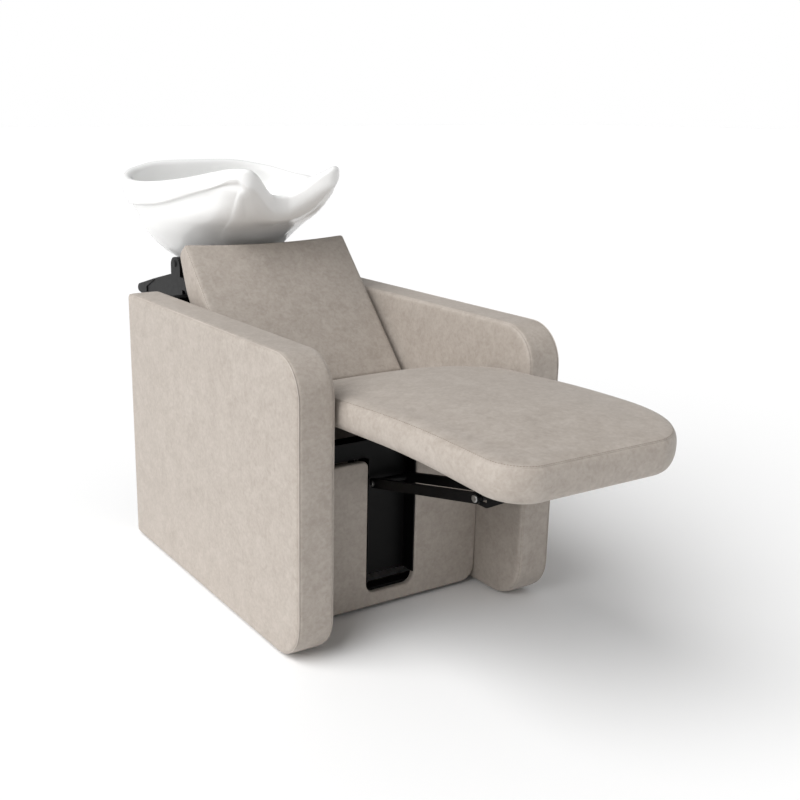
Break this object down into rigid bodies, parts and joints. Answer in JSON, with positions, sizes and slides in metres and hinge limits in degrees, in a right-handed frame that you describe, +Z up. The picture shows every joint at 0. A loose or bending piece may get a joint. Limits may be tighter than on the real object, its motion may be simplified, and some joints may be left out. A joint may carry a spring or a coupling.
{
  "type": "hair washing bed",
  "caption": "Salon backwash bed: padded box arms, lifting one-piece seat and leg rest on link arms, reclined back, tilting ceramic basin.",
  "frame": {"origin": "on the floor, under the middle of the bed's overall length and width", "axes": "+Z up, +Y towards the basin end, +X to the left of a person who sits in it facing the foot end"},
  "size_m": [0.676, 1.6936, 0.9757],
  "materials": {
    "upholstery": "matt grained leatherette, warm light taupe",
    "plywood": "raw birch plywood",
    "back_board": "black laminated board",
    "glazed_ceramic": "gloss white glaze",
    "black_plastic": "fine-textured moulding",
    "grey_plastic": "moulded",
    "black_steel": "black powder coat",
    "zinc_steel": "bright zinc plated",
    "chrome": "polished",
    "rubber": "matt"
  },
  "bodies": {
    "base": {"actuator_foot_clevis": "black_steel", "actuator_foot_pin": "zinc_steel", "arm_bolts": "zinc_steel", "arm_core_left": "plywood", "arm_core_right": "plywood", "arm_cover_left": "upholstery", "arm_cover_right": "upholstery", "back_panel": "back_board", "backrest_board": "plywood", "backrest_cushion": "upholstery", "backrest_stays": "black_steel", "basin_console": "black_plastic", "basin_post_left": "black_plastic", "basin_post_right": "black_plastic", "floor_cross_tubes": "black_steel", "front_cross_tube": "black_steel", "front_panel_board": "plywood", "front_panel_cover": "upholstery", "front_post_left": "black_steel", "front_post_right": "black_steel", "hinge_cross_tube": "black_steel", "levelling_feet": "rubber", "link_channel": "black_steel", "lower_rail_left": "black_steel", "lower_rail_right": "black_steel", "rear_cross_tube": "black_steel", "rear_post_left": "black_steel", "rear_post_right": "black_steel", "seat_buffers": "rubber", "seat_hinge_brackets": "black_steel", "seat_hinge_pins": "zinc_steel", "support_plates": "black_steel", "tilt_pins": "zinc_steel", "upper_rail_left": "black_steel", "upper_rail_right": "black_steel"},
    "chaise": {"seat_board": "plywood", "seat_cushion": "upholstery", "seat_hinge_lugs": "black_steel", "link_bracket_left": "black_steel", "link_bracket_right": "black_steel", "actuator_head_clevis": "black_steel", "actuator_head_pin": "zinc_steel"},
    "links": {"link_arm_left": "black_steel", "link_arm_right": "black_steel", "link_rear_rod": "zinc_steel", "link_front_rod": "zinc_steel", "link_screws": "zinc_steel", "link_spacers": "zinc_steel"},
    "lift_motor": {"actuator_body": "black_plastic", "actuator_motor": "black_plastic"},
    "lift_rod": {"actuator_rod": "zinc_steel"},
    "basin_tilter": {"basin": "glazed_ceramic", "tilt_cradle": "black_steel", "waste_flange": "chrome", "waste_strainer": "chrome", "waste_gasket": "rubber", "waste_nut": "grey_plastic", "waste_tailpiece": "grey_plastic"},
    "tilt_lock": {"lock_lever": "black_plastic"}
  },
  "joints": [
    {"name": "seat_lift", "type": "hinge", "parent": "base", "child": "chaise", "pos_m": [0, 0.1125, 0.384], "axis": [1, 0, 0], "range_deg": [0, 10.5]},
    {"name": "link_swing", "type": "hinge", "parent": "base", "child": "links", "pos_m": [0, -0.1735, 0.306], "axis": [1, 0, 0], "range_deg": [0, 19.1]},
    {"name": "motor_swing", "type": "hinge", "parent": "base", "child": "lift_motor", "pos_m": [0, 0.0575, 0.092], "axis": [1, 0, 0], "range_deg": [0, 3.5]},
    {"name": "rod_slide", "type": "slide", "parent": "lift_motor", "child": "lift_rod", "axis": [0, -0.4031, 0.9152], "range_m": [-0.0325, 0]},
    {"name": "basin_tilt", "type": "hinge", "parent": "base", "child": "basin_tilter", "pos_m": [0, 0.5725, 0.716], "axis": [1, 0, 0], "range_deg": [-6, 8]},
    {"name": "lever_turn", "type": "hinge", "parent": "base", "child": "tilt_lock", "pos_m": [0.194, 0.5725, 0.716], "axis": [1, 0, 0], "range_deg": [-45, 0]}
  ],
  "couplings": [
    {"joint": "link_swing", "follows": "seat_lift", "ratio": 1.799},
    {"joint": "motor_swing", "follows": "seat_lift", "ratio": 0.3208},
    {"joint": "rod_slide", "follows": "seat_lift", "m_per_rad": -0.17454}
  ]
}
